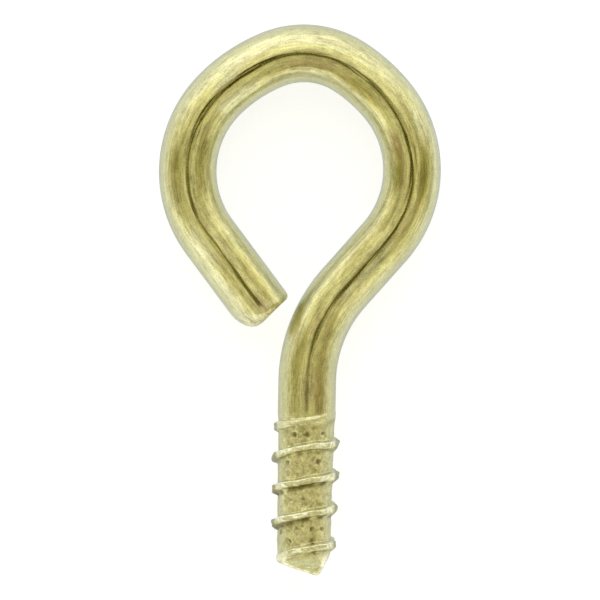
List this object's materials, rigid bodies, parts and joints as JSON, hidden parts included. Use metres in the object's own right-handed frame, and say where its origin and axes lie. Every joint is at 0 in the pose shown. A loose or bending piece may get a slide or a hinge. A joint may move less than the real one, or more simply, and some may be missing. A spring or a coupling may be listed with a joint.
{
  "type": "screw eye",
  "caption": "Screw eye of round brass wire: threaded, pointed shank with a smooth neck bent into an open eye.",
  "frame": {"origin": "on the middle line of the shank, where the thread runs out", "axes": "+Y along the shank from the point towards the eye, +Z square to the flat of the eye; the thread goes down -Y"},
  "size_m": [0.0107, 0.021, 0.0026],
  "materials": {
    "brass": "satin, drawn wire with a rolled thread"
  },
  "bodies": {
    "root": {"screw_eye": "brass"}
  },
  "joints": []
}
